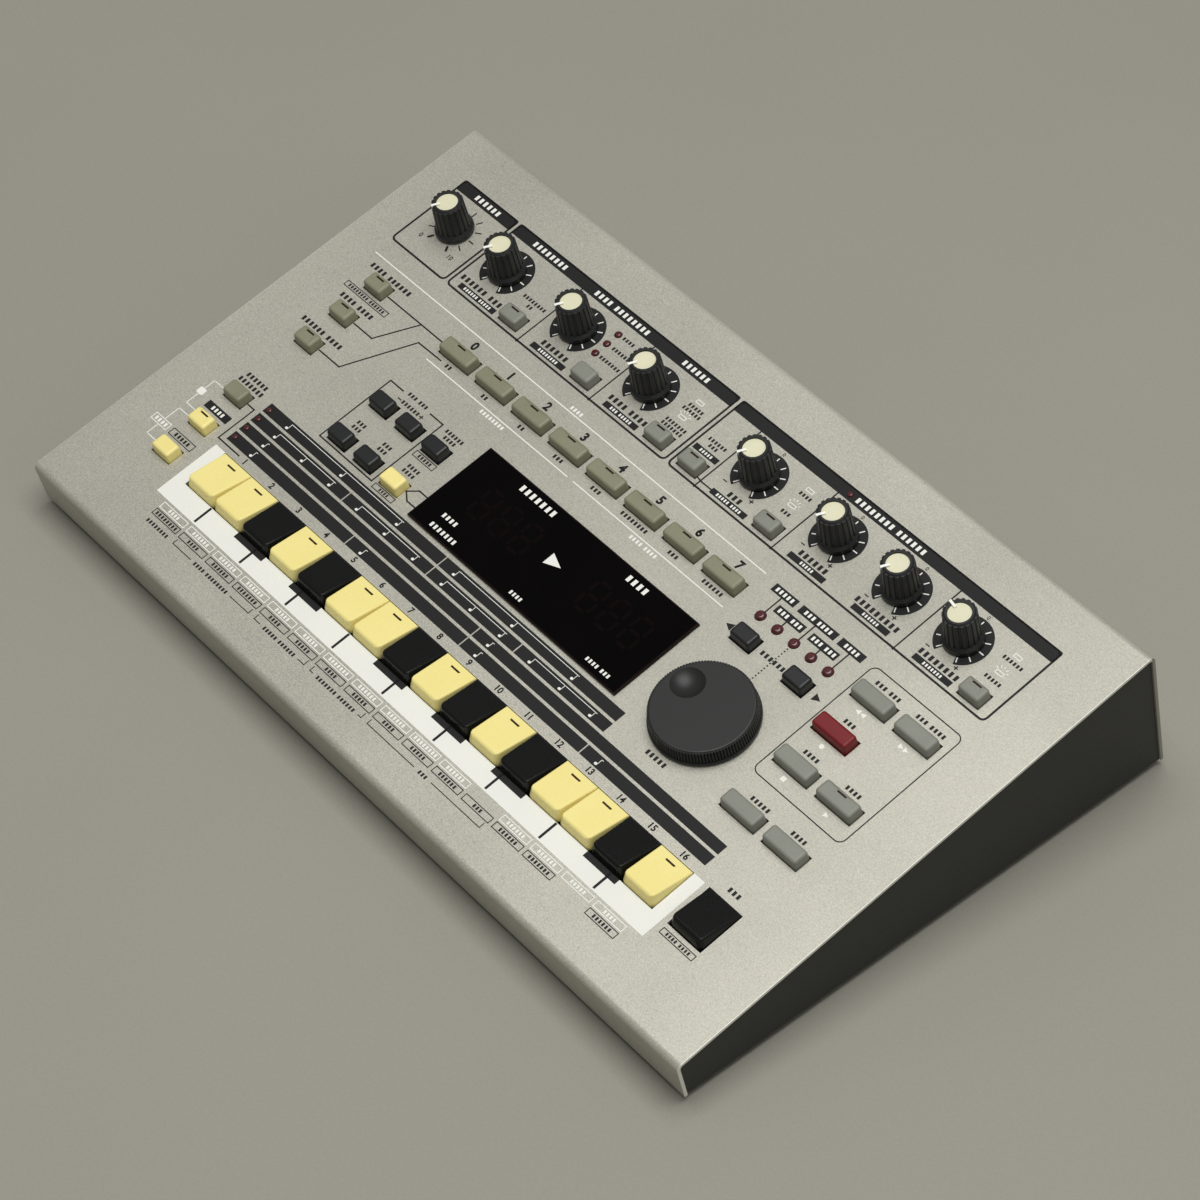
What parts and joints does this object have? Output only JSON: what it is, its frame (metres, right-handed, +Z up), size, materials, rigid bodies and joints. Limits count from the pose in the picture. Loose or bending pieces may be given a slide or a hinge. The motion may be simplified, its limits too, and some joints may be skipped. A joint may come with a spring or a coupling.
{
  "type": "groovebox",
  "caption": "Desktop groovebox with a sloped panel: a row of step pads, rotary knobs, push buttons, a value dial and a dark display over a wedge-shaped sheet-metal case.",
  "frame": {"origin": "centre of the footprint, on the surface that the feet stand on", "axes": "+X to the player's right along the case width, +Y towards the rear wall, +Z up"},
  "size_m": [0.34, 0.2124, 0.0708],
  "materials": {
    "silver_paint": "satin warm grey paint",
    "dark_paint": "satin charcoal paint",
    "foot_rubber": "matt",
    "smoked_window": "gloss smoked acrylic",
    "display_red": "gloss unlit digits",
    "lamp_red": "gloss unlit lens",
    "board_laminate": "satin solder mask",
    "mat_rubber": "matt",
    "control_steel": "satin",
    "spacer_brass": "satin",
    "socket_plastic": "satin",
    "black_plastic": "satin",
    "yellow_plastic": "satin",
    "olive_plastic": "satin",
    "grey_plastic": "satin",
    "red_plastic": "satin",
    "knob_plastic": "satin",
    "dial_plastic": "satin"
  },
  "bodies": {
    "case": {"top_cover": "silver_paint", "bottom_tray": "dark_paint", "rubber_feet": "foot_rubber", "display_window": "smoked_window", "digit_displays": "display_red", "indicator_lamps": "lamp_red", "panel_board": "board_laminate", "tact_switches": "black_plastic", "contact_mats": "mat_rubber", "potentiometers": "control_steel", "dial_encoder": "control_steel", "board_spacers": "spacer_brass", "main_board": "board_laminate", "audio_jacks": "socket_plastic", "midi_sockets": "socket_plastic", "dc_inlet": "socket_plastic"},
    "pad_01": {"pad_01": "yellow_plastic"},
    "pad_02": {"pad_02": "yellow_plastic"},
    "pad_03": {"pad_03": "black_plastic"},
    "pad_04": {"pad_04": "yellow_plastic"},
    "pad_05": {"pad_05": "black_plastic"},
    "pad_06": {"pad_06": "yellow_plastic"},
    "pad_07": {"pad_07": "yellow_plastic"},
    "pad_08": {"pad_08": "black_plastic"},
    "pad_09": {"pad_09": "yellow_plastic"},
    "pad_10": {"pad_10": "black_plastic"},
    "pad_11": {"pad_11": "yellow_plastic"},
    "pad_12": {"pad_12": "black_plastic"},
    "pad_13": {"pad_13": "yellow_plastic"},
    "pad_14": {"pad_14": "yellow_plastic"},
    "pad_15": {"pad_15": "black_plastic"},
    "pad_16": {"pad_16": "yellow_plastic"},
    "tap_pad": {"tap_pad": "black_plastic"},
    "part_buttons": {"part_buttons": "olive_plastic"},
    "left_column_buttons": {"left_column_buttons": "olive_plastic"},
    "section_buttons": {"section_buttons": "grey_plastic"},
    "pattern_buttons": {"pattern_buttons": "black_plastic"},
    "play_mode_button": {"play_mode_button": "yellow_plastic"},
    "function_button": {"function_button": "yellow_plastic"},
    "shift_button": {"shift_button": "yellow_plastic"},
    "select_left_button": {"select_left_button": "black_plastic"},
    "select_right_button": {"select_right_button": "black_plastic"},
    "back_button": {"back_button": "grey_plastic"},
    "forward_button": {"forward_button": "grey_plastic"},
    "record_button": {"record_button": "red_plastic"},
    "stop_button": {"stop_button": "grey_plastic"},
    "play_button": {"play_button": "grey_plastic"},
    "enter_button": {"enter_button": "grey_plastic"},
    "exit_button": {"exit_button": "grey_plastic"},
    "volume_knob": {"volume_knob": "knob_plastic"},
    "arpeggio_knob": {"arpeggio_knob": "knob_plastic"},
    "timing_knob": {"timing_knob": "knob_plastic"},
    "effect_knob": {"effect_knob": "knob_plastic"},
    "modulation_knob": {"modulation_knob": "knob_plastic"},
    "cutoff_knob": {"cutoff_knob": "knob_plastic"},
    "resonance_knob": {"resonance_knob": "knob_plastic"},
    "envelope_knob": {"envelope_knob": "knob_plastic"},
    "value_dial": {"value_dial": "dial_plastic"},
    "power_switch": {"power_switch": "black_plastic"},
    "low_boost_button": {"low_boost_button": "black_plastic"}
  },
  "joints": [
    {"name": "pad_01_press", "type": "slide", "parent": "case", "child": "pad_01", "axis": [0, 0.2011, -0.9796], "range_m": [0, 0.0015], "stiffness_N_per_m": 500, "springref_m": -0.0004},
    {"name": "pad_02_press", "type": "slide", "parent": "case", "child": "pad_02", "axis": [0, 0.2011, -0.9796], "range_m": [0, 0.0015], "stiffness_N_per_m": 500, "springref_m": -0.0004},
    {"name": "pad_03_press", "type": "slide", "parent": "case", "child": "pad_03", "axis": [0, 0.2011, -0.9796], "range_m": [0, 0.0015], "stiffness_N_per_m": 500, "springref_m": -0.0004},
    {"name": "pad_04_press", "type": "slide", "parent": "case", "child": "pad_04", "axis": [0, 0.2011, -0.9796], "range_m": [0, 0.0015], "stiffness_N_per_m": 500, "springref_m": -0.0004},
    {"name": "pad_05_press", "type": "slide", "parent": "case", "child": "pad_05", "axis": [0, 0.2011, -0.9796], "range_m": [0, 0.0015], "stiffness_N_per_m": 500, "springref_m": -0.0004},
    {"name": "pad_06_press", "type": "slide", "parent": "case", "child": "pad_06", "axis": [0, 0.2011, -0.9796], "range_m": [0, 0.0015], "stiffness_N_per_m": 500, "springref_m": -0.0004},
    {"name": "pad_07_press", "type": "slide", "parent": "case", "child": "pad_07", "axis": [0, 0.2011, -0.9796], "range_m": [0, 0.0015], "stiffness_N_per_m": 500, "springref_m": -0.0004},
    {"name": "pad_08_press", "type": "slide", "parent": "case", "child": "pad_08", "axis": [0, 0.2011, -0.9796], "range_m": [0, 0.0015], "stiffness_N_per_m": 500, "springref_m": -0.0004},
    {"name": "pad_09_press", "type": "slide", "parent": "case", "child": "pad_09", "axis": [0, 0.2011, -0.9796], "range_m": [0, 0.0015], "stiffness_N_per_m": 500, "springref_m": -0.0004},
    {"name": "pad_10_press", "type": "slide", "parent": "case", "child": "pad_10", "axis": [0, 0.2011, -0.9796], "range_m": [0, 0.0015], "stiffness_N_per_m": 500, "springref_m": -0.0004},
    {"name": "pad_11_press", "type": "slide", "parent": "case", "child": "pad_11", "axis": [0, 0.2011, -0.9796], "range_m": [0, 0.0015], "stiffness_N_per_m": 500, "springref_m": -0.0004},
    {"name": "pad_12_press", "type": "slide", "parent": "case", "child": "pad_12", "axis": [0, 0.2011, -0.9796], "range_m": [0, 0.0015], "stiffness_N_per_m": 500, "springref_m": -0.0004},
    {"name": "pad_13_press", "type": "slide", "parent": "case", "child": "pad_13", "axis": [0, 0.2011, -0.9796], "range_m": [0, 0.0015], "stiffness_N_per_m": 500, "springref_m": -0.0004},
    {"name": "pad_14_press", "type": "slide", "parent": "case", "child": "pad_14", "axis": [0, 0.2011, -0.9796], "range_m": [0, 0.0015], "stiffness_N_per_m": 500, "springref_m": -0.0004},
    {"name": "pad_15_press", "type": "slide", "parent": "case", "child": "pad_15", "axis": [0, 0.2011, -0.9796], "range_m": [0, 0.0015], "stiffness_N_per_m": 500, "springref_m": -0.0004},
    {"name": "pad_16_press", "type": "slide", "parent": "case", "child": "pad_16", "axis": [0, 0.2011, -0.9796], "range_m": [0, 0.0015], "stiffness_N_per_m": 500, "springref_m": -0.0004},
    {"name": "tap_pad_press", "type": "slide", "parent": "case", "child": "tap_pad", "axis": [0, 0.2011, -0.9796], "range_m": [0, 0.0015], "stiffness_N_per_m": 500, "springref_m": -0.0004},
    {"name": "part_buttons_press", "type": "slide", "parent": "case", "child": "part_buttons", "axis": [0, 0.2011, -0.9796], "range_m": [0, 0.001], "stiffness_N_per_m": 900, "springref_m": -0.0003},
    {"name": "left_column_buttons_press", "type": "slide", "parent": "case", "child": "left_column_buttons", "axis": [0, 0.2011, -0.9796], "range_m": [0, 0.001], "stiffness_N_per_m": 900, "springref_m": -0.0003},
    {"name": "section_buttons_press", "type": "slide", "parent": "case", "child": "section_buttons", "axis": [0, 0.2011, -0.9796], "range_m": [0, 0.001], "stiffness_N_per_m": 900, "springref_m": -0.0003},
    {"name": "pattern_buttons_press", "type": "slide", "parent": "case", "child": "pattern_buttons", "axis": [0, 0.2011, -0.9796], "range_m": [0, 0.001], "stiffness_N_per_m": 900, "springref_m": -0.0003},
    {"name": "play_mode_button_press", "type": "slide", "parent": "case", "child": "play_mode_button", "axis": [0, 0.2011, -0.9796], "range_m": [0, 0.001], "stiffness_N_per_m": 900, "springref_m": -0.0003},
    {"name": "function_button_press", "type": "slide", "parent": "case", "child": "function_button", "axis": [0, 0.2011, -0.9796], "range_m": [0, 0.001], "stiffness_N_per_m": 900, "springref_m": -0.0003},
    {"name": "shift_button_press", "type": "slide", "parent": "case", "child": "shift_button", "axis": [0, 0.2011, -0.9796], "range_m": [0, 0.001], "stiffness_N_per_m": 900, "springref_m": -0.0003},
    {"name": "select_left_button_press", "type": "slide", "parent": "case", "child": "select_left_button", "axis": [0, 0.2011, -0.9796], "range_m": [0, 0.001], "stiffness_N_per_m": 900, "springref_m": -0.0003},
    {"name": "select_right_button_press", "type": "slide", "parent": "case", "child": "select_right_button", "axis": [0, 0.2011, -0.9796], "range_m": [0, 0.001], "stiffness_N_per_m": 900, "springref_m": -0.0003},
    {"name": "back_button_press", "type": "slide", "parent": "case", "child": "back_button", "axis": [0, 0.2011, -0.9796], "range_m": [0, 0.001], "stiffness_N_per_m": 900, "springref_m": -0.0003},
    {"name": "forward_button_press", "type": "slide", "parent": "case", "child": "forward_button", "axis": [0, 0.2011, -0.9796], "range_m": [0, 0.001], "stiffness_N_per_m": 900, "springref_m": -0.0003},
    {"name": "record_button_press", "type": "slide", "parent": "case", "child": "record_button", "axis": [0, 0.2011, -0.9796], "range_m": [0, 0.001], "stiffness_N_per_m": 900, "springref_m": -0.0003},
    {"name": "stop_button_press", "type": "slide", "parent": "case", "child": "stop_button", "axis": [0, 0.2011, -0.9796], "range_m": [0, 0.001], "stiffness_N_per_m": 900, "springref_m": -0.0003},
    {"name": "play_button_press", "type": "slide", "parent": "case", "child": "play_button", "axis": [0, 0.2011, -0.9796], "range_m": [0, 0.001], "stiffness_N_per_m": 900, "springref_m": -0.0003},
    {"name": "enter_button_press", "type": "slide", "parent": "case", "child": "enter_button", "axis": [0, 0.2011, -0.9796], "range_m": [0, 0.001], "stiffness_N_per_m": 900, "springref_m": -0.0003},
    {"name": "exit_button_press", "type": "slide", "parent": "case", "child": "exit_button", "axis": [0, 0.2011, -0.9796], "range_m": [0, 0.001], "stiffness_N_per_m": 900, "springref_m": -0.0003},
    {"name": "volume_knob_turn", "type": "hinge", "parent": "case", "child": "volume_knob", "pos_m": [-0.13899, 0.05819, 0.05454], "axis": [0, 0.2011, -0.9796], "range_deg": [0, 300]},
    {"name": "arpeggio_knob_turn", "type": "hinge", "parent": "case", "child": "arpeggio_knob", "pos_m": [-0.10979, 0.05819, 0.05454], "axis": [0, 0.2011, -0.9796], "range_deg": [0, 300]},
    {"name": "timing_knob_turn", "type": "hinge", "parent": "case", "child": "timing_knob", "pos_m": [-0.0712, 0.05819, 0.05454], "axis": [0, 0.2011, -0.9796], "range_deg": [0, 300]},
    {"name": "effect_knob_turn", "type": "hinge", "parent": "case", "child": "effect_knob", "pos_m": [-0.0325, 0.05819, 0.05454], "axis": [0, 0.2011, -0.9796], "range_deg": [0, 300]},
    {"name": "modulation_knob_turn", "type": "hinge", "parent": "case", "child": "modulation_knob", "pos_m": [0.02292, 0.05819, 0.05454], "axis": [0, 0.2011, -0.9796], "range_deg": [0, 300]},
    {"name": "cutoff_knob_turn", "type": "hinge", "parent": "case", "child": "cutoff_knob", "pos_m": [0.06151, 0.05819, 0.05454], "axis": [0, 0.2011, -0.9796], "range_deg": [0, 300]},
    {"name": "resonance_knob_turn", "type": "hinge", "parent": "case", "child": "resonance_knob", "pos_m": [0.09211, 0.05819, 0.05454], "axis": [0, 0.2011, -0.9796], "range_deg": [0, 300]},
    {"name": "envelope_knob_turn", "type": "hinge", "parent": "case", "child": "envelope_knob", "pos_m": [0.1208, 0.05819, 0.05454], "axis": [0, 0.2011, -0.9796], "range_deg": [-72, 228]},
    {"name": "value_dial_turn", "type": "hinge", "parent": "case", "child": "value_dial", "pos_m": [0.08181, -0.01774, 0.03896], "axis": [0, 0.2011, -0.9796], "continuous": true},
    {"name": "power_switch_push", "type": "slide", "parent": "case", "child": "power_switch", "axis": [0, -0.9796, -0.2011], "range_m": [0, 0.0025]},
    {"name": "low_boost_button_push", "type": "slide", "parent": "case", "child": "low_boost_button", "axis": [0, -0.9796, -0.2011], "range_m": [0, 0.002]}
  ]
}
